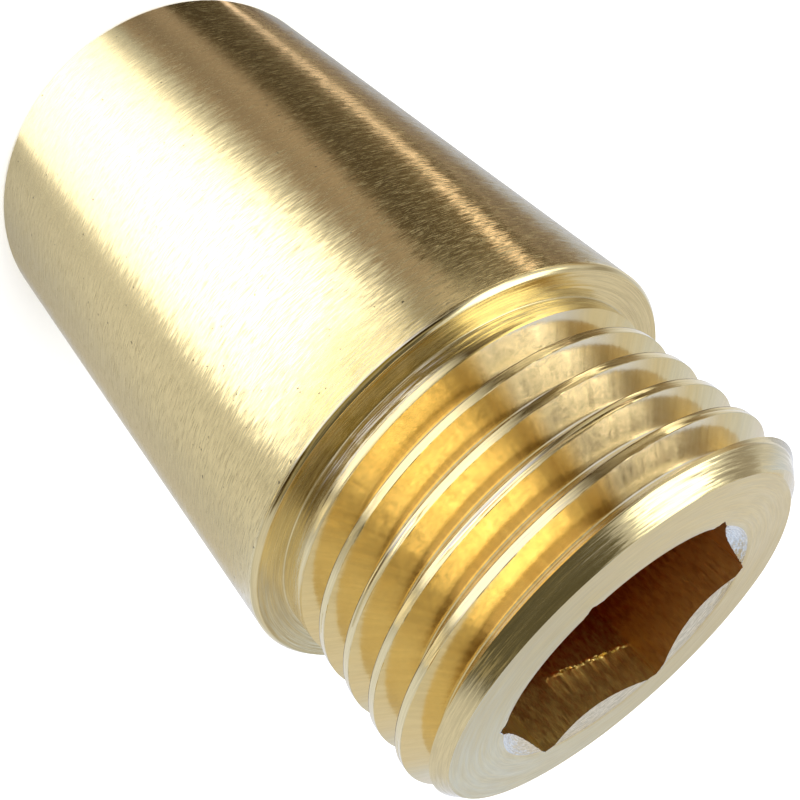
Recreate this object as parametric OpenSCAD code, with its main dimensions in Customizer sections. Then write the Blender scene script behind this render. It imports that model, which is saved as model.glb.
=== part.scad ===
// Extension coupling for G 1/2 pipe fittings, turned in one piece from brass bar.
// It stands on its female end: the origin is the centre of that face and +Z runs
// up the axis to the male end. All sizes are millimetres.

/* [Body] */
// Outer diameter of the plain body
body_d = 24; // [23:0.5:40]
// Length of the plain body, from the female face to the shoulder
body_length = 30; // [26:1:100]
// Chamfer on both ends of the body
body_chamfer = 0.2; // [0.1:0.05:0.6]

/* [Pipe thread] */
// Nominal major diameter of both threads
thread_major_d = 20.955; // [20.5:0.005:21]
// Axial distance from one turn to the next
thread_pitch = 1.8143; // [1.5:0.0001:2]
// Included angle between the two flanks of a turn
thread_angle = 55; // [50:1:60]
// How far the male thread is under its nominal diameter
male_allowance = 0.1; // [0:0.01:0.2]
// How far the female thread is over its nominal diameter
female_allowance = 0.1; // [0:0.01:0.2]

/* [Male end] */
// Length of the male end, from the shoulder to its face
male_length = 10.4; // [8:0.1:20]
// Chamfer on the outer edge of the male end
male_chamfer = 1.05; // [0.6:0.05:1.4]
// Distance from the end of the groove's centre line to the shoulder
male_land = 0.95; // [0.95:0.05:3]
// Rotation at which the groove breaks out through the male face
male_thread_start = 204; // [0:1:360]
// Flat at the bottom of the male groove, which a nearly sharp tool leaves
male_root_flat = 0.1; // [0.05:0.05:0.3]

/* [Female end] */
// Length of the full female thread
female_thread_length = 13; // [8:0.5:16]
// Plain bored length behind the female thread
female_relief_length = 3; // [2:0.5:5]
// Radial step from the crests of the female thread out to that plain bore
female_relief_step = 0.2; // [0.1:0.05:0.9]
// Chamfer at the mouth of the female thread
female_chamfer = 1.3; // [0.8:0.05:1.3]
// Included angle of the drill point that ends the bore
drill_point_angle = 118; // [100:1:140]

/* [Hexagon socket] */
// Width across the flats of the hexagon
hex_across_flats = 12; // [8:0.5:13]
// Diameter of the countersunk mouth of the socket
hex_mouth_d = 13.2; // [13:0.1:16]
// Included angle of the countersink
hex_mouth_angle = 120; // [90:5:150]

/* [Hidden] */

// Flat on every crest of the basic thread form, and in the roots of the female thread,
// as a share of the pitch
flat_share = 1 / 6;
// Straight steps in one full turn of a thread
turn_steps = 48;
// Angle over which the male groove rises out of the metal at its end
male_run_out = 100;
// Angle over which the female groove fades at its blind end
female_run_out = 240;
// How far a cutter reaches past the surface that it opens
overcut = 0.15;

male_major_r = (thread_major_d - male_allowance) / 2;
female_major_r = (thread_major_d + female_allowance) / 2;
minor_r = thread_major_d / 2 - thread_pitch * (1 / 2 - flat_share) / tan(thread_angle / 2);
// Half the width of the male groove at its mouth, and its depth down to the root flat
male_groove_half = thread_pitch * (1 - flat_share) / 2
                   - male_allowance / 2 * tan(thread_angle / 2);
male_groove_depth = (male_groove_half - male_root_flat / 2) / tan(thread_angle / 2);
relief_r = minor_r + female_relief_step;
total_length = body_length + male_length;
bore_depth = female_thread_length + female_relief_length;
hex_corner_r = hex_across_flats / 2 / cos(30);

// Section of a groove as [height above its floor, distance along the axis]. The
// floor is flat and both flanks open at half the thread angle.
function groove_section(floor_flat, height) =
    let (floor_w = floor_flat / 2,
         top_w = floor_w + height * tan(thread_angle / 2))
    [[height, -top_w], [0, -floor_w], [0, floor_w], [height, top_w]];

// One station of the sweep: the section turned to its angle, with its floor at
// floor_r. side is 1 where the groove opens outwards and -1 where it opens inwards.
function station(section, angle, floor_r, side, z) = [
    for (point = section)
        let (r = floor_r + side * point[0])
        [r * cos(angle), r * sin(angle), z + point[1]]
];

function reversed(list) = [for (k = [len(list) - 1 : -1 : 0]) list[k]];

// Cutter for one right-handed helical groove. It enters through a mouth face at
// mouth_z, runs inwards over the given travel in degrees, and is lifted out of the
// metal over the last run_out degrees. inwards is 1 where it climbs, -1 where it
// descends. floor_flat is the width of the floor and depth the radial depth of the
// full groove.
module thread_groove(mouth_z, inwards, floor_r, side, floor_flat, depth, start, travel, run_out) {
    section = groove_section(floor_flat, depth + overcut);
    sides = len(section);
    lead_in = 360;
    steps = ceil((lead_in + travel) / 360 * turn_steps);
    lift = depth + overcut;
    points = [
        for (i = [0 : steps])
            let (t = -lead_in + i * (lead_in + travel) / steps,
                 rise = lift * max(0, 1 - (travel - t) / run_out))
            each station(section, start + inwards * t, floor_r + side * rise, side,
                         mouth_z + inwards * thread_pitch * t / 360)
    ];
    skin = [
        for (i = [0 : steps - 1], k = [0 : sides - 1])
            let (a = i * sides + k,
                 b = i * sides + (k + 1) % sides,
                 c = b + sides,
                 d = a + sides)
            each [[a, b, c], [a, c, d]]
    ];
    first_cap = [for (k = [sides - 1 : -1 : 0]) k];
    last_cap = [for (k = [0 : sides - 1]) steps * sides + k];
    faces = concat(skin, [first_cap, last_cap]);
    polyhedron(points, inwards * side < 0 ? faces : [for (f = faces) reversed(f)]);
}

// Turned outline, revolved about the axis: body, shoulder and chamfered male stub
module turned_blank() {
    body_r = body_d / 2;
    c = body_chamfer;
    rotate_extrude($fn = 96)
        polygon([
            [0, 0],
            [body_r - c, 0],
            [body_r, c],
            [body_r, body_length - c],
            [body_r - c, body_length],
            [male_major_r, body_length],
            [male_major_r, total_length - male_chamfer],
            [male_major_r - male_chamfer, total_length],
            [0, total_length]
        ]);
}

// Groove between the turns of the male thread
module male_groove() {
    travel = (male_length - male_land) / thread_pitch * 360;
    thread_groove(total_length, -1, male_major_r - male_groove_depth, 1, male_root_flat,
                  male_groove_depth, male_thread_start, travel, male_run_out);
}

// Tapped hole: the threaded core, the groove round it, and the mouth chamfer. The
// core has as many sides as a turn has steps, so its facets meet those of the groove.
module female_thread() {
    translate([0, 0, -overcut])
        linear_extrude(female_thread_length + 2 * overcut)
            polygon([
                for (i = [0 : turn_steps - 1])
                    minor_r * [cos(i * 360 / turn_steps), sin(i * 360 / turn_steps)]
            ]);
    thread_groove(0, 1, female_major_r, -1, thread_pitch * flat_share, female_major_r - minor_r,
                  0, female_thread_length / thread_pitch * 360, female_run_out);
    mouth_r = minor_r + female_chamfer;
    translate([0, 0, -overcut])
        cylinder(h = female_chamfer + overcut, r1 = mouth_r + overcut, r2 = minor_r, $fn = 96);
}

// Plain end of the bore, with the cone that the drill leaves
module drilled_end() {
    translate([0, 0, female_thread_length])
        cylinder(h = female_relief_length, r = relief_r, $fn = 96);
    translate([0, 0, bore_depth])
        cylinder(h = relief_r / tan(drill_point_angle / 2), r1 = relief_r, r2 = 0, $fn = 96);
}

// Broached key socket through to the drilled hole, with its countersunk mouth
module hexagon_socket() {
    translate([0, 0, bore_depth - overcut])
        cylinder(h = total_length - bore_depth + 2 * overcut, r = hex_corner_r, $fn = 6);
    mouth_r = hex_mouth_d / 2;
    cone_h = mouth_r / tan(hex_mouth_angle / 2);
    translate([0, 0, total_length - cone_h])
        cylinder(h = cone_h, r1 = 0, r2 = mouth_r, $fn = 96);
}

// The coupling: one turned, tapped and broached solid
module coupling() {
    color("#c8b27a")
        difference() {
            turned_blank();
            male_groove();
            female_thread();
            drilled_end();
            hexagon_socket();
        }
}

coupling();
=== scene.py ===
"""Turned brass extension coupling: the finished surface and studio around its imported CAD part.

Lengths are millimetres in the shape code and turn to metres where a mesh is made. Angles are
degrees, measured about +Z from +X.
"""
import math

import bmesh
import bpy
import numpy as np
from mathutils import Matrix


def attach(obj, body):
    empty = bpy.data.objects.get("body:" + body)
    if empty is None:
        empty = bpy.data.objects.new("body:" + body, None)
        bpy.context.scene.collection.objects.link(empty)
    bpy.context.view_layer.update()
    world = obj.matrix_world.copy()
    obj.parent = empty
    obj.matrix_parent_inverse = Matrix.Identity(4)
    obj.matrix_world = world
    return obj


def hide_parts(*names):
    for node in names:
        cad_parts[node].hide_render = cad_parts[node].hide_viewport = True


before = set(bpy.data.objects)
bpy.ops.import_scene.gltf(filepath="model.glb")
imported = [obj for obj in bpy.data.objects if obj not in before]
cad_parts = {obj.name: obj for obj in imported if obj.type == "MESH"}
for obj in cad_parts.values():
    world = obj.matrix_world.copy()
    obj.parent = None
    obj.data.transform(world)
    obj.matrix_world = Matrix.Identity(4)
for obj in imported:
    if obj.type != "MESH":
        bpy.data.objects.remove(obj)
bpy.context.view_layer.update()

MM = 0.001

# ---------------------------------------------------------------- sizes of the part

BODY_R, BODY_L, EDGE = 12.0, 30.0, 0.2
TOTAL = 40.4
PITCH, HALF_ANGLE = 1.8143, math.radians(27.5)
MAJOR_R = 10.4275
MALE_MINOR_R, MALE_ROOT_R = 9.12, 0.08
MALE_DEPTH = MAJOR_R - MALE_MINOR_R
MINOR_R, FEMALE_ROOT_R = 9.3158, 0.2492
FEMALE_MAJOR_R = 10.5275
FEMALE_DEPTH = FEMALE_MAJOR_R - MINOR_R
MALE_CHAMFER = 1.05
MALE_START, MALE_LAND, MALE_RUN_OUT = 204.0, 0.95, 100.0
FEMALE_L, FEMALE_CHAMFER, FEMALE_RUN_OUT = 13.0, 1.3, 240.0
RELIEF_R, RELIEF_L = 9.5158, 3.0
DRILL_SLOPE = math.tan(math.radians(59))
OVERCUT = 0.15           # how far a groove is lifted past the surface where it runs out
HEX_HALF = 6.0
MOUTH_R, MOUTH_SLOPE = 6.66, math.tan(math.radians(60))

# ---------------------------------------------------------------- fine features

# Thread crests: width, the part rolled over on the shoulder side, and the fall of the last one
CREST_W, BURR_SHARE = 0.36, 0.11
LAST_SLOPE, SLOPE_RISE = 0.036, 1.1
# Fine line of the cutter: depth, place, its shift in turns, and the groove depth it needs
LINE_DEPTH, LINE_START, LINE_SHIFT, LINE_GROOVE = 0.016, 150.0, 0.37, 0.18
# Heights over the shoulder from which a crest counts as one, and from which it has a burr
CREST_FROM, BURR_FROM = 0.3, 1.0
BURR_SPAN = 0.08         # a last row of a crest that is longer than this is land
LAND_DEPTH = 0.05        # a surface less than this below the crests is land
ON_CONE = 0.003          # one less than this below the end chamfer belongs to it
# Shoulder and end face: corner fillet, turning rings, and their phase in radians
FILLET, RING_DEPTH, RINGS, RING_DRIFT = 0.06, 0.010, 6.3, 2.2
FACE_RIPPLE, FACE_PHASE = 0.004, 40.0
# Socket: ragged lip, more so near the corners, and one row of chips that climbs round a wall
RAGGED, RAGGED_CORNER, CORNER_REACH = 0.02, 0.05, 5.0
CHIP_Z, CHIP_START, CHIP_RISE, CHIP_SPAN = 37.7, 79.0, 0.0205, 40.0
CHIP_FADES = ((76.0, 80.0), (121.0, 118.0))
CHIP_ROWS = ((0.17, 0.0), (0.10, 0.05), (0.03, 0.2), (-0.03, 0.16), (-0.10, 0.05), (-0.17, 0.0))
WALL_TOP, WALL_LEVELS = 39.2, (35.0, 30.0, 24.0)

# ---------------------------------------------------------------- rows and columns

COLS, INNER_COLS = 480, 240              # outside and socket, bore
WALL_SHARES = (1.0, 0.975, 0.5, 0.08, 0.05, 0.015)       # rows of a male flank, by depth
FEMALE_SHARES = (1.0, 0.55, 0.115)                       # rows of a female flank
# Rows of a crest: share of its width, and share there of the fine line's depth
CREST_ROWS = ((0.42, 0.0), (0.52, 1.0), (0.62, 0.0), (1 - BURR_SHARE, 0.0))
MALE_ROWS = 2 * len(WALL_SHARES) + 1 + len(CREST_ROWS)
FEMALE_ROWS = 2 * len(FEMALE_SHARES) + 2
# Rows of the body's edges, inwards from its diameter and along from its end
EDGE_ROWS = ((EDGE, 0.0), (EDGE - 0.02, 0.006), (0.02, EDGE - 0.014), (0.0, EDGE + 0.03))
EDGE_MARGIN = 0.16       # from an edge to the first full row of the body
UNDER_R = 11.2           # where the female face changes to fewer columns
LEDGE = 0.01             # height of the ledge between thread and plain bore
PROBES, HALVINGS = 400, 30
TINY, SAME_PLACE = 1e-9, 1e-5
SHARP_ANGLE = 34.0

# Finishes, as material indices of the one mesh
BODY, SHOULDER, THREAD, CREST, LAND, CHAMFER, FACE, SOCKET, MOUTH, BORE, SHADED_BURR, CORNER = range(12)


# ---------------------------------------------------------------- mesh building

class Skin:
    """Vertices and faces of one closed surface, grown ring by ring."""

    def __init__(self):
        self.points, self.faces, self.finish = [], [], []

    def add(self, x, y, z):
        self.points.append((x, y, z))
        return len(self.points) - 1

    def ring(self, angles, radius, height):
        radius = np.broadcast_to(radius, angles.shape)
        height = np.broadcast_to(height, angles.shape)
        return [
            self.add(r * math.cos(a), r * math.sin(a), z)
            for a, r, z in zip(np.radians(angles), radius, height)
        ]

    def face(self, corners, finish):
        """A face without repeated corners. Nothing is made where fewer than three are left."""
        kept = [c for i, c in enumerate(corners) if c != corners[i - 1]]
        if len(set(kept)) >= 3:
            self.faces.append(kept)
            self.finish.append(finish)

    def band(self, lower, upper, finish):
        """Quads between two rings of as many points."""
        n = len(lower)
        for i in range(n):
            k = (i + 1) % n
            self.face([lower[i], lower[k], upper[k], upper[i]], finish)

    def half_band(self, wide, narrow, finish):
        """Triangles between a ring and one with half as many points."""
        n = len(narrow)
        for i in range(n):
            k = (i + 1) % n
            a, b, c = wide[2 * i], wide[2 * i + 1], wide[(2 * i + 2) % (2 * n)]
            self.face([a, b, narrow[i]], finish)
            self.face([b, narrow[k], narrow[i]], finish)
            self.face([b, c, narrow[k]], finish)

    def profile(self, angles, start, stations, finish):
        """Rings through (radius, height) stations, from the ring start. Returns the last."""
        last = start
        for radius, height in stations:
            now = self.ring(angles, radius, height)
            self.band(last, now, finish)
            last = now
        return last


def smoothstep(edge0, edge1, x):
    """0 up to edge0 and 1 from edge1, whichever of them is the higher, and smooth between."""
    t = np.clip((x - edge0) / (edge1 - edge0), 0.0, 1.0)
    return t * t * (3 - 2 * t)


def waves(seed, count, low, high):
    """A smooth closed random function of an angle in degrees, from about -1 to 1."""
    rng = np.random.RandomState(seed)
    k = rng.randint(low, high, count)
    amp, phase = rng.uniform(0.4, 1.0, count), rng.uniform(0, 2 * math.pi, count)
    total = amp.sum()

    def value(angle):
        a = np.radians(np.asarray(angle, float))[..., None]
        return (amp * np.sin(k * a + phase)).sum(-1) / total * 1.6

    return value


# ---------------------------------------------------------------- threads

def half_width(h, root):
    """Half the width of a groove at height h above its floor, rounded to radius root."""
    arc_h = root * (1 - math.sin(HALF_ANGLE))
    h = np.maximum(h, 0.0)
    arc = np.sqrt(np.maximum(root ** 2 - (root - np.minimum(h, arc_h)) ** 2, 0.0))
    return arc + np.maximum(h - arc_h, 0.0) * math.tan(HALF_ANGLE)


def wall_height(d, root):
    """Height above the floor of a groove's wall at distance d from its centre line."""
    arc_h = root * (1 - math.sin(HALF_ANGLE))
    d = np.abs(d)
    edge = root * math.cos(HALF_ANGLE)
    arc = root - np.sqrt(np.maximum(root ** 2 - np.minimum(d, edge) ** 2, 0.0))
    return np.where(d <= edge, arc, arc_h + (d - edge) / math.tan(HALF_ANGLE))


def grooves(first, length, depth, run_out, turns):
    """Distance from the face and floor lift of each groove that a column crosses. first is the
    travel at which the groove comes to the column, and length is that of the whole groove."""
    travel = length / PITCH * 360
    out = []
    for k in range(-1, turns):
        t = first + 360 * k
        lift = (depth + OVERCUT) * max(0.0, 1 - (travel - t) / run_out)
        out.append((PITCH * t / 360, min(lift, depth)))
    return out


def flank_rows(centre, open_depth, root, shares):
    """Heights of the rows of one groove, from its upper edge to its lower one."""
    widths = [half_width(share * open_depth, root) for share in shares]
    return [centre + w for w in widths] + [centre] + [centre - w for w in reversed(widths)]


CREST_LINE = waves(11, 5, 1, 5)


def crest_line(angle, turn):
    """Depth of the fine line that the cutter leaves along some stretches of a crest."""
    place = angle + 360 * turn * LINE_SHIFT + LINE_START
    return LINE_DEPTH * smoothstep(0.0, 0.5, CREST_LINE(place))


def male_column(angle):
    """Heights and radii down one column of the male end, from its face to the shoulder."""
    crossed = [
        (TOTAL - distance, lift) for distance, lift in
        grooves(MALE_START - angle, TOTAL - BODY_L - MALE_LAND, MALE_DEPTH, MALE_RUN_OUT, 7)
    ]

    def surface(z):
        r = np.full_like(z, MAJOR_R)
        for centre, lift in crossed:
            if lift < MALE_DEPTH - TINY:
                wall = wall_height(z - centre, MALE_ROOT_R)
                r = np.minimum(r, MALE_MINOR_R + lift + wall)
        return r

    def cone(z):
        return MAJOR_R - MALE_CHAMFER + (TOTAL - z)

    rows, dips = [], []
    for turn, (centre, lift) in enumerate(crossed):
        open_depth = MALE_DEPTH - lift
        rows += flank_rows(centre, open_depth, MALE_ROOT_R, WALL_SHARES)
        dips += [0.0] * (2 * len(WALL_SHARES) + 1)
        # The crest below the groove: the last one falls towards it, the others have the line
        last = turn + 1 == len(crossed) or crossed[turn + 1][1] > MALE_DEPTH - TINY
        slope = LAST_SLOPE if last and open_depth > 1e-6 else 0.0
        line = smoothstep(0.0, LINE_GROOVE, open_depth) * crest_line(angle, turn)
        dips[-1], start = slope, rows[-1]
        for share, line_share in CREST_ROWS:
            rows.append(start - CREST_W * share)
            fall = slope * max(0.0, 1 - share * SLOPE_RISE)
            dips.append(fall if slope else line_share * line)
    z, dips = np.clip(np.array(rows), BODY_L + FILLET, TOTAL), np.array(dips)

    # Rows are moved onto the lines where the chamfer meets the thread.
    probe = np.linspace(TOTAL - MALE_CHAMFER - 0.05, TOTAL, PROBES)
    gap = surface(probe) - cone(probe)
    for i in np.nonzero(np.sign(gap[:-1]) != np.sign(gap[1:]))[0]:
        lo, hi = probe[i], probe[i + 1]
        for _ in range(HALVINGS):
            mid = (lo + hi) / 2
            f_mid = float(surface(np.array([mid]))[0] - cone(mid))
            if (f_mid > 0) == (gap[i] > 0):
                lo = mid
            else:
                hi = mid
        cut = (lo + hi) / 2
        cone_above = gap[i] <= 0 < gap[i + 1]
        if cone_above:
            above = np.nonzero((z > cut) & (z < TOTAL))[0]
            if len(above):
                z[above[-1]] = cut
        else:
            below = np.nonzero(z <= cut)[0]
            if len(below):
                z[below[0]] = cut
    r = np.minimum(surface(z), cone(z))
    return z, np.where(cone(z) > MAJOR_R - 1e-6, r - dips, r)


def female_column(angle):
    """Heights and radii up one column of the tapped hole, from its mouth to the plain bore."""
    crossed = grooves(angle, FEMALE_L, FEMALE_DEPTH, FEMALE_RUN_OUT, 8)
    rows = []
    for centre, lift in crossed:
        rows += flank_rows(centre, FEMALE_DEPTH - lift, FEMALE_ROOT_R, FEMALE_SHARES)[::-1]
        rows.append(centre + PITCH / 2)
    z = np.clip(np.array(rows), 0.0, FEMALE_L)
    r = np.full_like(z, MINOR_R)
    for centre, lift in crossed:
        if lift < FEMALE_DEPTH - TINY:
            wall = wall_height(z - centre, FEMALE_ROOT_R)
            r = np.maximum(r, FEMALE_MAJOR_R - lift - wall)
    return z, np.maximum(r, MINOR_R + FEMALE_CHAMFER - z)


def helical_band(skin, angles, column, per_turn, turns_shift, finish_of):
    """A threaded surface whose rows follow the helix. Returns its first and last rings."""
    ids, heights, radii = [], [], []
    for angle in angles:
        z, r = column(angle)
        a = math.radians(angle)
        own, last = [], None
        for zz, rr in zip(z, r):
            if last is not None and max(abs(zz - last[0]), abs(rr - last[1])) < SAME_PLACE:
                own.append(own[-1])
                continue
            own.append(skin.add(rr * math.cos(a), rr * math.sin(a), zz))
            last = (zz, rr)
        ids.append(own)
        heights.append(z)
        radii.append(r)
    count = len(ids[0])
    for c in range(len(angles)):
        here = ids[c]
        wraps = c + 1 == len(angles)
        there = ids[0] if wraps else ids[c + 1]
        shift = turns_shift * per_turn if wraps else 0

        def at(j):
            return there[min(max(j + shift, 0), count - 1)]

        for j in range(count - 1):
            mid_z = (heights[c][j] + heights[c][j + 1]) / 2
            mid_r = (radii[c][j] + radii[c][j + 1]) / 2
            span = abs(heights[c][j] - heights[c][j + 1])
            finish = finish_of(mid_z, mid_r, j % per_turn, span)
            skin.face([here[j], at(j), at(j + 1), here[j + 1]], finish)
        # Where the seam is a turn out of step, a fan closes the rows that are left over.
        for j in range(count - 1, count - 1 - shift):
            skin.face([here[-1], at(j), at(min(j + 1, count - 1 - shift))], THREAD)
    return [own[0] for own in ids], [own[-1] for own in ids]


# ---------------------------------------------------------------- the coupling

def hexagon(angles):
    """Radius of the hexagonal socket's wall, with corners on X and every 60 degrees."""
    return HEX_HALF / np.cos(np.radians(np.mod(angles, 60.0) - 30.0))


def male_finish(z, r, row, span):
    """Finish of a face of the male end, from its middle, its row in the turn and the height
    that it spans."""
    if r > MAJOR_R - MALE_CHAMFER + TOTAL - z - ON_CONE:
        return CHAMFER
    if row == MALE_ROWS - 1:
        return SHADED_BURR if span < BURR_SPAN and z > BODY_L + BURR_FROM else LAND
    if row >= MALE_ROWS - 1 - len(CREST_ROWS):
        return CREST if z > BODY_L + CREST_FROM else LAND
    return LAND if r > MAJOR_R - LAND_DEPTH else THREAD


def add_end_face(skin, angles, top, open_r):
    """End face, inwards from the chamfer to the mouth of the socket."""
    top_r = np.array([math.hypot(*skin.points[i][:2]) for i in top])
    wave = waves(5, 5, 1, 6)
    rows = []
    for share in np.linspace(0, 1, 9)[1:-1]:
        ripple = FACE_RIPPLE * (1 + np.sin(share * FACE_PHASE + wave(angles)))
        rows.append((top_r + (open_r - top_r) * share, TOTAL - ripple))
    return skin.profile(angles, top, [*rows, (open_r, TOTAL)], FACE)


def add_socket(skin, angles, ring, hex_r, open_r):
    """Countersink, and the broached walls below it down to the drill's cone."""
    sink = np.maximum(MOUTH_R - hex_r, 0.0) / MOUTH_SLOPE
    ragged = np.random.RandomState(4).uniform(-1.0, 1.0, COLS)
    from_corner = np.mod(angles + 30.0, 60.0) - 30.0
    near_corner = np.exp(-((from_corner / CORNER_REACH) ** 2))
    lip_r = hex_r - RAGGED * ragged - RAGGED_CORNER * ragged * near_corner
    lip = (np.minimum(lip_r, open_r), TOTAL - sink - 1e-4)
    ring = skin.profile(angles, ring, [lip], MOUTH)

    chip_z = CHIP_Z + CHIP_RISE * np.clip(angles - CHIP_START, 0, CHIP_SPAN)
    (in_0, in_1), (out_0, out_1) = CHIP_FADES
    chips = smoothstep(in_0, in_1, angles) * smoothstep(out_0, out_1, angles)
    jitter = np.random.RandomState(8).uniform(0.0, 1.0, (len(CHIP_ROWS), COLS))
    wall = [(hex_r, WALL_TOP)]
    for (drop, size), own in zip(CHIP_ROWS, jitter):
        wall.append((hex_r - size * chips * own ** 3, chip_z + drop))
    wall += [(hex_r, z) for z in WALL_LEVELS]
    wall.append((hex_r, FEMALE_L + RELIEF_L + (RELIEF_R - hex_r) / DRILL_SLOPE))
    return skin.profile(angles, ring, wall, SOCKET)


def add_bore(skin, inner, ring):
    """Drill cone, plain bore, ledge and tapped hole. Returns the ring at its mouth."""
    cone = skin.ring(inner, RELIEF_R, FEMALE_L + RELIEF_L)
    skin.half_band(ring, cone, BORE)
    bore = skin.profile(inner, cone, [(RELIEF_R, FEMALE_L + LEDGE)], BORE)
    mouth, blind = helical_band(skin, inner, female_column, FEMALE_ROWS, 1, lambda *face: BORE)
    skin.band(bore, blind, BORE)
    return mouth


def add_shoulder(skin, angles, foot):
    """Corner fillet at the land, and the turning rings out to the edge of the body."""
    corner = [
        (MAJOR_R + FILLET * (1 - math.cos(a)), BODY_L + FILLET * (1 - math.sin(a)))
        for a in np.radians((22, 45, 68, 90))
    ]
    ring = skin.profile(angles, foot, corner, SHOULDER)
    drift_a, drift_b, swell = (waves(21 + i, 4, 1, 5) for i in range(3))
    first, last = MAJOR_R + FILLET, BODY_R - EDGE
    rows = []
    for share in np.linspace(0, 1, 20)[1:]:
        drift = 0.35 * drift_a(angles) + 0.25 * drift_b(2 * angles)
        phase = 2 * math.pi * (share * RINGS) + drift * RING_DRIFT
        depth = RING_DEPTH * (0.5 - 0.5 * np.cos(phase))
        depth = depth * (0.55 + 0.45 * swell(angles + 80 * share))
        fade = min(1.0, (1 - share) * 12)
        rows.append((first + (last - first) * share, BODY_L - np.maximum(depth, 0) * fade))
    return skin.profile(angles, ring, rows, SHOULDER)


def add_body(skin, angles, ring):
    """Body with its two edges, down to the female face."""
    upper = [(BODY_R - inset, BODY_L - drop) for inset, drop in EDGE_ROWS[1:]]
    lower = [(BODY_R - inset, rise) for inset, rise in reversed(EDGE_ROWS[:-1])]
    margin = EDGE + EDGE_MARGIN
    levels = [*np.linspace(BODY_L - margin, margin, 9), EDGE_ROWS[-1][1]]
    ring = skin.profile(angles, ring, upper, CORNER)
    ring = skin.profile(angles, ring, [(BODY_R, z) for z in levels], BODY)
    return skin.profile(angles, ring, lower, CORNER)


def build_coupling():
    skin = Skin()
    angles = np.arange(COLS) * 360.0 / COLS
    inner = np.arange(INNER_COLS) * 360.0 / INNER_COLS
    hex_r = hexagon(angles)
    open_r = np.maximum(hex_r, MOUTH_R)
    top, foot = helical_band(skin, angles, male_column, MALE_ROWS, -1, male_finish)
    ring = add_end_face(skin, angles, top, open_r)
    ring = add_socket(skin, angles, ring, hex_r, open_r)
    mouth = add_bore(skin, inner, ring)
    ring = add_body(skin, angles, add_shoulder(skin, angles, foot))
    under = skin.ring(inner, UNDER_R, 0.0)
    skin.half_band(ring, under, FACE)
    skin.band(mouth, under, FACE)
    return skin


def mesh_object(name, skin, materials):
    mesh = bpy.data.meshes.new(name)
    points = np.array(skin.points) * MM
    mesh.from_pydata([tuple(p) for p in points], [], skin.faces)
    for index in sorted(materials):
        mesh.materials.append(materials[index])
    mesh.polygons.foreach_set("material_index", skin.finish)
    bm = bmesh.new()
    bm.from_mesh(mesh)
    bmesh.ops.recalc_face_normals(bm, faces=bm.faces)
    bm.to_mesh(mesh)
    bm.free()
    mesh.polygons.foreach_set("use_smooth", [True] * len(mesh.polygons))
    mesh.set_sharp_from_angle(angle=math.radians(SHARP_ANGLE))
    obj = bpy.data.objects.new(name, mesh)
    bpy.context.scene.collection.objects.link(obj)
    return obj


# ---------------------------------------------------------------- materials

class Nodes:
    """Short calls for building a node tree. A value is a number, a tuple or a socket."""

    def __init__(self, tree):
        self.tree = tree

    def new(self, kind, **values):
        node = self.tree.nodes.new(kind)
        for key, value in values.items():
            setattr(node, key, value)
        return node

    def link(self, out, into):
        self.tree.links.new(out, into)

    def put(self, value, into):
        if isinstance(value, (int, float, tuple)):
            into.default_value = value
        else:
            self.link(value, into)

    def math(self, op, a, b, clamp=False):
        node = self.new("ShaderNodeMath", operation=op, use_clamp=clamp)
        self.put(a, node.inputs[0])
        self.put(b, node.inputs[1])
        return node.outputs[0]

    def vec(self, op, a, b=None, scale=None):
        node = self.new("ShaderNodeVectorMath", operation=op)
        self.put(a, node.inputs[0])
        if b is not None:
            self.put(b, node.inputs[1])
        if scale is not None:
            self.put(scale, node.inputs["Scale"])
        return node.outputs[0]

    def combine(self, x, y, z):
        node = self.new("ShaderNodeCombineXYZ")
        for value, into in zip((x, y, z), node.inputs):
            self.put(value, into)
        return node.outputs[0]

    def split(self, vector):
        node = self.new("ShaderNodeSeparateXYZ")
        self.link(vector, node.inputs[0])
        return node.outputs

    def noise(self, vector, scale, detail, rough, output="Fac"):
        node = self.new("ShaderNodeTexNoise")
        values = (("Vector", vector), ("Scale", scale), ("Detail", detail), ("Roughness", rough))
        for key, value in values:
            self.put(value, node.inputs[key])
        return node.outputs[output]

    def swing(self, noise, reach):
        """A noise about 0.5 turned into one about 0."""
        return self.math("MULTIPLY", self.math("SUBTRACT", noise, 0.5), reach)

    def ramp(self, value, low, high, out_low=0.0, out_high=1.0):
        node = self.new("ShaderNodeMapRange", clamp=True, interpolation_type="SMOOTHSTEP")
        values = (value, low, high, out_low, out_high)
        for key, v in zip(("Value", "From Min", "From Max", "To Min", "To Max"), values):
            self.put(v, node.inputs[key])
        return node.outputs[0]

    def mix(self, share, a, b):
        node = self.new("ShaderNodeMix", data_type="RGBA")
        self.link(share, node.inputs[0])
        for i, v in ((6, a), (7, b)):
            self.put((*v, 1.0) if isinstance(v, tuple) else v, node.inputs[i])
        return node.outputs[2]


def turned_coordinates(n, lean=0.6):
    """Place in mm, unit vector away from the axis, radius, height, and the distance along the
    surface, for marks that run round the axis."""
    coords = n.new("ShaderNodeTexCoord").outputs["Object"]
    mm = n.vec("SCALE", coords, scale=1 / MM)
    x, y, z = n.split(mm)
    flat = n.combine(x, y, 0.0)
    length = n.new("ShaderNodeVectorMath", operation="LENGTH")
    n.link(flat, length.inputs[0])
    r = length.outputs["Value"]
    unit = n.vec("NORMALIZE", flat)
    along = n.math("ADD", n.math("MULTIPLY", r, lean), z)
    return mm, unit, r, z, along


def streaks(n, unit, along, around_scale, along_scale):
    """Texture coordinates, drawn out round the axis."""
    scaled = n.vec("SCALE", unit, scale=around_scale)
    return n.vec("ADD", scaled, n.combine(0.0, 0.0, n.math("MULTIPLY", along, along_scale)))


def darker(colour, share):
    return tuple(c * share for c in colour)


BRASS = (0.90, 0.755, 0.415)
RIM_WIDTH = 0.14         # over which a worn outer edge turns outwards


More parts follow.
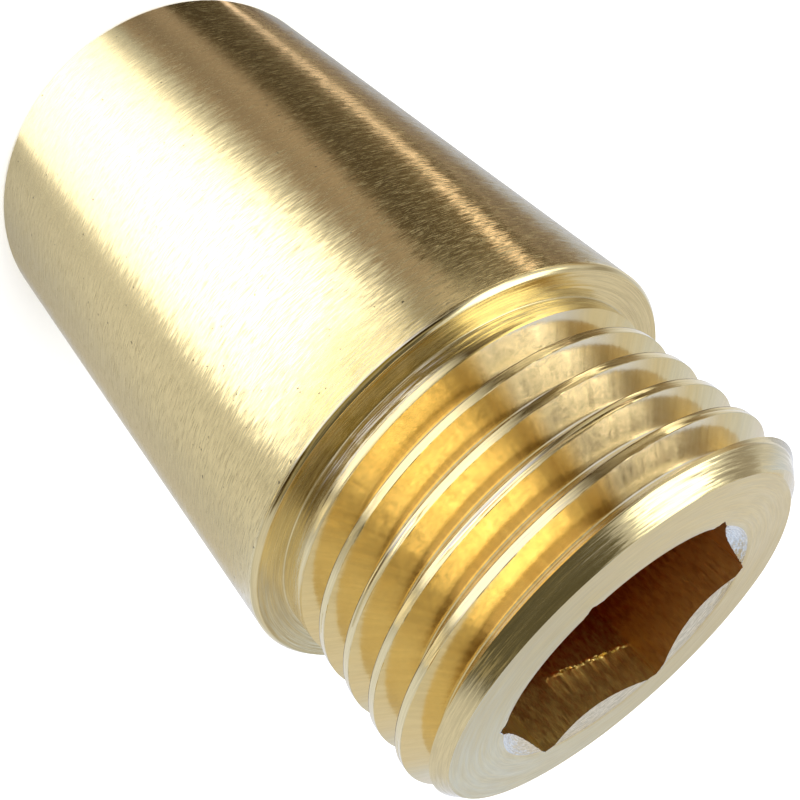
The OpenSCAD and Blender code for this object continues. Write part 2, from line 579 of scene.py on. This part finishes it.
def brass(name, base=BRASS, rough=0.25, rough_vary=0.08, aniso=0.6, dash=0.05, ridge=0.05,
          around=7.0, fine=11.0, mottle=0.0, lean=0.6, tint=(0.80, 0.62, 0.34), tint_amount=0.15,
          grain=0.18, pits=0.0, flare=0.0, rim=None):
    """A brass finish. dash and ridge tilt the surface round and across the turning marks, grain
    darkens the marks and flare roughens them. rim is where a worn outer edge starts."""
    material = bpy.data.materials.new(name)
    material.use_nodes = True
    shader = material.node_tree.nodes["Principled BSDF"]
    n = Nodes(material.node_tree)
    mm, unit, r, _, along = turned_coordinates(n, lean)

    streak = n.noise(streaks(n, unit, along, around, fine), 1.0, 3.0, 0.62)
    broad = n.noise(streaks(n, unit, along, around * 0.8, fine * 0.6), 1.0, 3.0, 0.55)
    offset = n.vec("ADD", streaks(n, unit, along, around * 1.3, fine * 1.4), (31.0, 7.0, 3.0))
    cross = n.noise(offset, 1.0, 4.0, 0.7)
    blotch = n.noise(mm, 0.9, 3.0, 0.6)

    # Surface normal tilted round the axis by the dashes and along it by the ridges
    normal = n.new("ShaderNodeNewGeometry").outputs["Normal"]
    tangent = n.vec("CROSS_PRODUCT", (0.0, 0.0, 1.0), unit)
    across = n.vec("CROSS_PRODUCT", normal, tangent)
    tilt = n.vec("SCALE", tangent, scale=n.swing(streak, dash * 4))
    tip = n.vec("SCALE", across, scale=n.swing(cross, ridge * 4))
    bent = n.vec("NORMALIZE", n.vec("ADD", n.vec("ADD", normal, tilt), tip))
    if mottle:
        soft = n.noise(mm, 2.4, 3.0, 0.5, output="Color")
        shove = n.vec("SCALE", n.vec("SUBTRACT", soft, (0.5, 0.5, 0.5)), scale=mottle)
        bent = n.vec("NORMALIZE", n.vec("ADD", bent, shove))
    if rim:
        worn = n.vec("SCALE", unit, scale=n.ramp(r, rim, rim + RIM_WIDTH, 0.0, 4.0))
        bent = n.vec("NORMALIZE", n.vec("ADD", bent, worn))
    n.link(bent, shader.inputs["Normal"])

    colour = n.mix(n.ramp(blotch, 0.35, 0.75, 0.0, tint_amount), base, tint)
    colour = n.mix(n.ramp(cross, 0.36, 0.62, 0.0, grain), colour, darker(base, 0.45))
    if pits:
        spots = n.noise(mm, 3.6, 1.0, 0.5)
        hole = n.ramp(spots, 0.775 - pits * 0.02, 0.79)
        colour = n.mix(hole, colour, darker(base, 0.25))
    n.link(colour, shader.inputs["Base Color"])
    level = n.ramp(broad, 0.3, 0.7, rough - rough_vary, rough + rough_vary)
    if flare:
        level = n.math("ADD", level, n.ramp(cross, 0.52, 0.63, 0.0, flare))
    n.link(level, shader.inputs["Roughness"])
    shader.inputs["Metallic"].default_value = 1.0
    shader.inputs["Anisotropic"].default_value = aniso
    shader.inputs["Anisotropic Rotation"].default_value = 0.25
    radial = n.new("ShaderNodeTangent", direction_type="RADIAL", axis="Z")
    n.link(radial.outputs[0], shader.inputs["Tangent"])
    return material


def reopened(material):
    """A finish's nodes, its input for the base colour, and the colour that it has there."""
    shader = material.node_tree.nodes["Principled BSDF"]
    into = shader.inputs["Base Color"]
    return Nodes(material.node_tree), into, into.links[0].from_socket


def broached():
    """The socket's walls: scratched lengthwise, olive on one side, red-brown deep down. The
    red-brown on the -X side and deep down is partly patina and partly painted shade of the hole.
    """
    material = brass(
        "brass_broached_socket", base=(0.93, 0.74, 0.24), rough=0.34, rough_vary=0.06, aniso=0.0,
        dash=0.10, ridge=0.06, around=90.0, fine=3.0, tint=(0.75, 0.45, 0.10), tint_amount=0.3,
        grain=0.25)
    n, into, plain = reopened(material)
    _, unit, _, z, along = turned_coordinates(n)
    # Red-brown on the walls of the -X side and deep down: painted shade of the hole, partly
    # patina
    shaded_red_side = n.ramp(n.split(unit)[0], -0.47, -0.53)
    deep = n.ramp(z, 38.9, 36.2)
    scratches = n.noise(streaks(n, unit, along, 24.0, 1.6), 1.0, 3.0, 0.7)
    deep_shade_streaks = n.math("ADD", deep, n.ramp(scratches, 0.3, 0.7, -0.35, 0.35), clamp=True)
    colour = n.mix(shaded_red_side, plain, (0.90, 0.50, 0.13))
    n.link(n.mix(deep_shade_streaks, colour, (0.55, 0.16, 0.03)), into)
    return material


def flanks():
    """The thread's flanks: golden, with a paler stretch from -84 to -104 degrees, which is a
    painted highlight where the flanks mirror the bright panels.
    """
    material = brass(
        "brass_thread_flank", base=(0.89, 0.70, 0.33), rough=0.17, rough_vary=0.03, aniso=0.0,
        dash=0.02, ridge=0.02, around=30.0, fine=5.0, mottle=0.025, tint=(0.85, 0.60, 0.22),
        tint_amount=0.2, grain=0.12)
    n, into, golden = reopened(material)
    x, y, _ = n.split(turned_coordinates(n)[1])
    turn = n.math("ARCTAN2", y, x)
    # Paler stretch from -84 to -104 degrees: a painted highlight
    near, far = (
        n.ramp(turn, math.radians(a), math.radians(b)) for a, b in ((-77, -84), (-120, -104))
    )
    n.link(n.mix(n.math("MULTIPLY", near, far), golden, (0.96, 0.88, 0.68)), into)
    return material


materials = {
    BODY: brass("brass_brushed_body", rough=0.17, rough_vary=0.03, aniso=0.65, dash=0.08,
                ridge=0.03, around=13.0, fine=17.0, grain=0.38, pits=0.3, flare=0.35),
    SHOULDER: brass("brass_turned_shoulder", rough=0.2, aniso=0.6, dash=0.03, ridge=0.13,
                    around=2.5, fine=12.0, lean=1.0, grain=0.35),
    THREAD: flanks(),
    CREST: brass("brass_crest", rough=0.16, aniso=0.5, dash=0.02, ridge=0.06, around=4.0,
                 fine=12.0),
    LAND: brass("brass_land", rough=0.2, aniso=0.6, dash=0.05, ridge=0.42, around=3.0,
                fine=13.0, grain=0.4),
    CHAMFER: brass("brass_chamfer", rough=0.15, rough_vary=0.04, aniso=0.6, dash=0.03,
                   ridge=0.16, around=4.0, fine=7.0, lean=-1.0, grain=0.3, rim=10.12),
    FACE: brass("brass_end_face", rough=0.34, rough_vary=0.05, aniso=0.5, dash=0.03,
                ridge=0.06, around=4.0, fine=10.0, lean=1.0),
    SOCKET: broached(),
    MOUTH: brass("brass_countersink", base=(0.94, 0.87, 0.70), rough=0.14, aniso=0.5, dash=0.12,
                 ridge=0.1, around=10.0, fine=9.0, lean=1.0, grain=0.45),
    BORE: brass("brass_bore", rough=0.22, aniso=0.3, dash=0.02, ridge=0.04, around=5.0,
                fine=8.0),
    # The strip where each crest rolls over towards the shoulder is dark brown: painted shade
    # along that edge
    SHADED_BURR: brass("brass_burr_painted_shade", base=(0.42, 0.29, 0.12), rough=0.3, aniso=0.3, dash=0.1,
                ridge=0.1, around=14.0, fine=6.0, grain=0.8),
    CORNER: brass("brass_body_corner", rough=0.13, rough_vary=0.03, aniso=0.6, dash=0.03,
                  ridge=0.12, around=5.0, fine=10.0, lean=-1.0),
}

coupling = mesh_object("coupling_turned", build_coupling(), materials)
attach(coupling, "root")
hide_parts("coupling")

# ---------------------------------------------------------------- camera

CAMERA_AT = (21.8584, -38.0932, 51.7005)
CAMERA_RIGHT = (-0.843993, 0.023599, 0.535834)
CAMERA_UP = (-0.393107, -0.706867, -0.588053)
CAMERA_BACK = (0.364886, -0.706953, 0.605868)


def make_camera():
    data = bpy.data.cameras.new("camera")
    data.sensor_width, data.lens = 36.0, 45.237
    data.shift_x, data.shift_y = 0.11422, -0.04534
    data.clip_start, data.clip_end = 0.002, 20.0
    obj = bpy.data.objects.new("camera", data)
    bpy.context.scene.collection.objects.link(obj)
    turn = Matrix((CAMERA_RIGHT, CAMERA_UP, CAMERA_BACK)).transposed().to_4x4()
    turn.translation = [c * MM for c in CAMERA_AT]
    obj.matrix_world = turn
    bpy.context.scene.camera = obj


# ---------------------------------------------------------------- studio

FLOOR_HALF = 3000.0
GROUND_Z = -0.02
DOME_R, DOME_Z, DOME_FROM = 600.0, 20.0, -4.0

# Tints of the panels
COOL, PLAIN, WARM = (0.92, 0.98, 1.16), (1.0, 1.0, 1.0), (1.0, 0.76, 0.46)
ROSY, GOLD = (1.0, 0.80, 0.66), (1.0, 0.84, 0.45)
SKY, CREAM = (0.98, 1.11, 1.9), (1.0, 0.94, 0.80)

# Panels of the light tent that lie on the ground round the part. Each has the angle at which
# the body mirrors it, its brightness and its tint. The body, the flanks, the crests and what
# lies low on the male end mirror panels at different distances.
BODY_PANELS = (
    (12.0, 0.85, COOL), (2.0, 0.59, CREAM), (-10.0, 0.61, PLAIN), (-24.0, 0.76, PLAIN),
    (-31.0, 0.70, PLAIN), (-34.5, 0.85, PLAIN), (-37.5, 2.2, PLAIN), (-44.0, 2.7, PLAIN),
    (-56.0, 3.2, PLAIN), (-64.0, 2.8, PLAIN), (-70.0, 2.1, PLAIN), (-73.5, 0.95, PLAIN),
    (-76.0, 0.62, PLAIN), (-78.0, 0.40, ROSY), (-79.5, 0.30, ROSY), (-83.0, 0.44, ROSY),
    (-85.3, 0.42, ROSY), (-87.6, 0.12, WARM), (-91.0, 0.08, WARM), (-99.0, 0.12, WARM),
    (-103.2, 0.18, WARM), (-105.0, 2.1, ROSY), (-106.9, 0.18, WARM), (-109.5, 0.10, WARM),
    (-110.8, 0.12, WARM), (-112.2, 0.60, ROSY), (-113.8, 0.14, ROSY), (-116.0, 0.28, ROSY),
    (-118.0, 0.34, ROSY), (-121.0, 0.50, COOL), (-124.0, 0.62, COOL), (-130.0, 0.72, COOL),
)
FLANK_PANELS = (
    (0.0, 0.88, COOL), (-22.0, 0.84, COOL), (-30.0, 0.42, PLAIN), (-37.5, 0.12, GOLD),
    (-42.0, 0.24, GOLD), (-48.0, 0.76, GOLD), (-52.0, 1.2, GOLD), (-56.0, 0.78, GOLD),
    (-66.0, 0.70, GOLD), (-71.0, 0.44, GOLD), (-75.5, 0.20, GOLD), (-79.0, 0.80, CREAM),
    (-86.0, 2.0, CREAM), (-93.0, 2.7, CREAM), (-99.0, 2.0, CREAM), (-103.0, 0.85, CREAM),
    (-107.0, 0.28, PLAIN), (-111.0, 0.34, PLAIN), (-117.0, 0.90, COOL), (-130.0, 1.05, COOL),
)
CREST_PANELS = (
    (10.0, 0.85, PLAIN), (-20.0, 0.88, CREAM), (-33.0, 1.1, CREAM), (-37.0, 0.55, PLAIN),
    (-41.0, 1.7, PLAIN), (-66.0, 1.7, PLAIN), (-72.0, 0.8, PLAIN), (-78.0, 0.08, WARM),
    (-90.0, 0.26, WARM), (-102.0, 0.14, WARM), (-110.0, 0.30, WARM), (-115.0, 0.75, PLAIN),
    (-130.0, 0.95, COOL),
)
LOW_PANELS = (
    (10.0, 0.80, COOL), (-28.0, 0.50, PLAIN), (-31.0, 0.16, WARM), (-38.0, 0.14, WARM),
    (-43.0, 1.0, SKY), (-68.0, 1.0, SKY), (-74.0, 0.12, WARM), (-78.0, 0.12, WARM),
    (-84.0, 0.60, CREAM), (-98.0, 0.80, CREAM), (-106.0, 0.40, WARM), (-118.0, 0.60, COOL),
    (-130.0, 0.85, COOL),
)

# Panels of the dome over them, each laid over those before it: centre and half size as azimuth
# and elevation, colour, and width of the soft edge. ROOM is the dome between them.
ROOM = (0.67, 0.68, 0.72)
DOME_PANELS = (
    ((118.0, 30.0), (32.0, 10.0), (0.48, 0.42, 0.31), 8.0),
    ((122.0, 13.0), (34.0, 12.0), (0.65, 0.79, 1.10), 8.0),
    ((135.0, 25.0), (14.0, 14.0), (0.70, 0.69, 0.70), 8.0),
    ((178.0, 24.0), (7.0, 14.0), (0.36, 0.34, 0.32), 4.0),
    ((62.0, 28.0), (30.0, 13.0), (0.72, 0.73, 0.78), 6.0),
    ((-36.0, 72.0), (77.0, 24.0), (0.11, 0.10, 0.065), 6.0),
    ((-42.0, 47.0), (64.0, 7.0), (0.36, 0.32, 0.22), 5.0),
    ((-44.0, 32.0), (62.0, 9.0), (0.25, 0.19, 0.02), 4.0),
    ((-95.0, 32.0), (16.0, 9.0), (0.02, 0.01, 0.0), 5.0),
    ((0.0, 32.0), (18.0, 9.0), (0.04, 0.02, 0.0), 6.0),
    ((-142.0, 42.0), (23.5, 17.0), (2.6, 2.7, 2.6), 4.0),
)

# How far round the body the panels slide with distance, and the share of it at each angle
SLIDE = ((2.0, 11.5, 21.5, 26.4, 36.0, 46.0), (-5.0, -3.7, -1.2, 0.0, 3.0, 4.8))
SLIDE_SHARE = (
    (-122.0, -116.0, -112.0, -88.0, -84.0, -80.0, -77.0), (0.2, 0.5, 1.0, 1.0, 0.8, 0.3, 0.0)
)
# Distance out to which the body mirrors the ground, and the gain of its panels near the body
# and out there
BODY_REACH = ((-96.0, -88.0, -78.0, -70.0), (55.0, 51.0, 47.5, 49.0))
NEAR, NEAR_GAIN = 15.0, 0.82
EDGE_GAIN = (
    (-122, -112, -107, -104, -101, -98, -88, -84, -72, -40, -20),
    (1.0, 0.8, 0.8, 0.9, 1.1, 1.1, 1.0, 0.8, 1.1, 1.05, 1.02),
)
# What the flanks mirror: farthest reach, and its inner and outer limit as shares of the reach
FLANK_LIMIT, OUTER_SHARE = 320.0, 1.16
INNER_SHARE = (
    (-110, -104, -96, -90, -84, -60, 0), (0.92, 1.12, 1.02, 1.02, 1.0, 0.93, 0.92)
)
CREST_FIRST = 76.0       # the crests have panels of their own where the flanks end before this
CREST_SIDE = -86.0       # below this angle the gap inside the flanks' panels shows the crests'
GROUND_ENDS = (500.0, 760.0)
BODY_STATIONS = 17

# Wedges of the ground sheet: angles of the mirrored lines, their number, and that of the lines
# that close the round behind the part
LINES_FROM, LINES_TO, LINES, LINES_BEHIND = 10.0, -128.0, 277, 25


def stage_mesh(name, points, faces, material, colours=None):
    mesh = bpy.data.meshes.new(name)
    mesh.from_pydata([tuple(c * MM for c in p) for p in points], [], faces)
    mesh.materials.append(material)
    if colours is not None:
        layer = mesh.color_attributes.new("panel", "FLOAT_COLOR", "POINT")
        layer.data.foreach_set("color", np.array(colours, np.float32).ravel())
    obj = bpy.data.objects.new(name, mesh)
    bpy.context.scene.collection.objects.link(obj)
    return obj


def make_floor():
    material = bpy.data.materials.new("floor_paper")
    material.use_nodes = True
    shader = material.node_tree.nodes["Principled BSDF"]
    shader.inputs["Base Color"].default_value = (0.95, 0.95, 0.94, 1)
    shader.inputs["Roughness"].default_value = 0.9
    signs = ((-1, -1), (1, -1), (1, 1), (-1, 1))
    points = [(x * FLOOR_HALF, y * FLOOR_HALF, 0) for x, y in signs]
    floor = stage_mesh("floor", points, [(0, 1, 2, 3)], material)
    floor.visible_glossy = False


def panel_material():
    material = bpy.data.materials.new("tent_panel")
    material.use_nodes = True
    tree = material.node_tree
    tree.nodes.clear()
    n = Nodes(tree)
    out = n.new("ShaderNodeOutputMaterial")
    glow = n.new("ShaderNodeEmission")
    layer = n.new("ShaderNodeAttribute", attribute_name="panel")
    n.link(layer.outputs["Color"], glow.inputs["Color"])
    n.link(glow.outputs[0], out.inputs["Surface"])
    material.cycles.emission_sampling = "NONE"
    return material


def panel_colour(panels, phi):
    """Brightness times tint at the body angle phi, between the panels on either side."""
    places = [place for place, _, _ in panels][::-1]
    stops = np.array([np.array(tint) * level for _, level, tint in panels])[::-1]
    return np.array([np.interp(phi, places, stops[:, i]) for i in range(3)])


def flank_reach(phi):
    """How far out on the ground the thread flanks at phi mirror the view, after two bounces."""
    elevation = max(43.5 - 0.0125 * (phi + 62.0) ** 2, 4.0)
    return min(35.5 / math.tan(math.radians(elevation)), FLANK_LIMIT)


def dome_colour(az, el):
    """Colour of the dome at an azimuth and an elevation."""
    value = np.array(ROOM)
    for centre, half, colour, soft in DOME_PANELS:
        d_az = abs((az - centre[0] + 180) % 360 - 180)
        d_el = abs(el - centre[1])
        share = (smoothstep(half[0] + soft, half[0] - soft, d_az)
                 * smoothstep(half[1] + soft, half[1] - soft, d_el))
        value = value * (1 - share) + np.array(colour) * share
    return value


def mirrored_line(phi):
    """Start point on the body and direction in which it mirrors the camera, both level."""
    a = math.radians(phi)
    normal = np.array((math.cos(a), math.sin(a)))
    start = BODY_R * normal
    ray = start - np.array(CAMERA_AT[:2])
    ray /= np.linalg.norm(ray)
    ray -= 2 * ray.dot(normal) * normal
    return start, ray


def body_stations(phi, reach):
    """Stations out to reach, with the colours that the body mirrors there."""
    edge_gain = np.interp(phi, *EDGE_GAIN)
    out = []
    for t in np.linspace(0.0, reach, BODY_STATIONS):
        slide = np.interp(phi, *SLIDE_SHARE) * np.interp(t, *SLIDE)
        gain = np.interp(t, (0.0, NEAR, reach), (NEAR_GAIN, 1.0, edge_gain))
        out.append((t, panel_colour(BODY_PANELS, phi - slide) * gain))
    return out


def ground_stations(phi):
    """Distances along a mirrored line with the colour of the ground sheet at each."""
    flank, crest, low = (
        panel_colour(panels, phi) for panels in (FLANK_PANELS, CREST_PANELS, LOW_PANELS)
    )
    middle = flank_reach(phi)
    inner, outer = middle * np.interp(phi, *INNER_SHARE), OUTER_SHARE * middle
    reach = min(inner - 1, np.interp(phi, *BODY_REACH))
    inner = max(inner, reach + 3)
    gap = crest if phi < CREST_SIDE else flank
    if outer < CREST_FIRST:
        beyond = [(outer + 2, crest), (outer + 20, crest), (102.0, crest), (118.0, low)]
    else:
        beyond = [(outer + 5, flank), (outer + 20, flank), (outer + 50, flank), (outer + 70, low)]
    return [
        *body_stations(phi, reach), (reach + 1.5, gap), (inner - 1, gap),
        (inner, flank), (middle + 3, flank), (outer + 1, flank),
        *beyond, *((end, low) for end in GROUND_ENDS),
    ]


def ground_lines():
    """Start, direction and stations of each line of the ground sheet, all the way round."""
    lines = []
    for phi in np.linspace(LINES_FROM, LINES_TO, LINES):
        lines.append((*mirrored_line(phi), ground_stations(phi)))
    (_, first_ray, first), (_, last_ray, last) = lines[0], lines[-1]
    az = math.degrees(math.atan2(last_ray[1], last_ray[0]))
    end = math.degrees(math.atan2(first_ray[1], first_ray[0]))
    for share in np.linspace(0, 1, LINES_BEHIND)[1:-1]:
        phi = math.radians(LINES_TO - (360 + LINES_TO - LINES_FROM) * share)
        turn = math.radians(az + ((end - az) % -360) * share)
        stations = [
            (t0 + (t1 - t0) * share, c0 + (c1 - c0) * share)
            for (t0, c0), (t1, c1) in zip(last, first)
        ]
        lines.append((BODY_R * np.array((math.cos(phi), math.sin(phi))),
                      np.array((math.cos(turn), math.sin(turn))), stations))
    return lines


def make_ground(material, lines):
    points, colours, faces = [], [], []
    for start, ray, stations in lines:
        for t, colour in stations:
            x, y = start + ray * t
            points.append((x, y, GROUND_Z))
            colours.append((*colour, 1.0))
    m = len(lines[0][2])
    for i in range(len(lines)):
        k = (i + 1) % len(lines)
        for j in range(m - 1):
            faces.append((i * m + j, i * m + j + 1, k * m + j + 1, k * m + j))
    return stage_mesh("tent_ground", points, faces, material, colours)


def make_dome(material, lines):
    """The dome, whose lower rim takes the colours of the ground sheet's outer end."""
    azimuths, elevations = np.arange(0, 360, 2.0), np.linspace(DOME_FROM, 90, 48)
    far = [math.degrees(math.atan2(ray[1], ray[0])) for _, ray, _ in lines]
    rim = []
    for az in azimuths:
        nearest = min(range(len(far)), key=lambda i: abs((far[i] - az + 180) % 360 - 180))
        rim.append(lines[nearest][2][-1][1])
    points, colours, faces = [], [], []
    for el in elevations:
        share = smoothstep(2.0, 16.0, el)
        level, height = DOME_R * math.cos(math.radians(el)), DOME_R * math.sin(math.radians(el))
        for az, low in zip(azimuths, rim):
            a = math.radians(az)
            points.append((level * math.cos(a), level * math.sin(a), DOME_Z + height))
            colours.append((*(low * (1 - share) + dome_colour(az, el) * share), 1.0))
    m = len(azimuths)
    for j in range(len(elevations) - 1):
        for i in range(m):
            k = (i + 1) % m
            faces.append((j * m + i, j * m + k, (j + 1) * m + k, (j + 1) * m + i))
    return stage_mesh("tent_dome", points, faces, material, colours)


def make_tent():
    """Panels that only the metal sees: a ground sheet in wedges, and a dome."""
    material, lines = panel_material(), ground_lines()
    for obj in (make_ground(material, lines), make_dome(material, lines)):
        for ray in ("camera", "diffuse", "shadow", "transmission", "volume_scatter"):
            setattr(obj, "visible_" + ray, False)


def make_lights():
    world = bpy.data.worlds.new("soft_room")
    bpy.context.scene.world = world
    world.use_nodes = True
    back = world.node_tree.nodes["Background"]
    back.inputs["Color"].default_value = (1.0, 1.0, 1.0, 1.0)
    back.inputs["Strength"].default_value = 1.4
    data = bpy.data.lights.new("soft_box", "AREA")
    data.shape, data.size, data.energy = "DISK", 0.5, 1.5
    lamp = bpy.data.objects.new("soft_box", data)
    bpy.context.scene.collection.objects.link(lamp)
    lamp.location = (-0.15, -0.25, 0.5)
    lamp.rotation_euler = (math.radians(30), math.radians(-17), 0)
    lamp.visible_glossy = False


make_camera()
make_floor()
make_tent()
make_lights()
bpy.context.scene.view_settings.view_transform = "Standard"
bpy.context.scene.view_settings.look = "None"
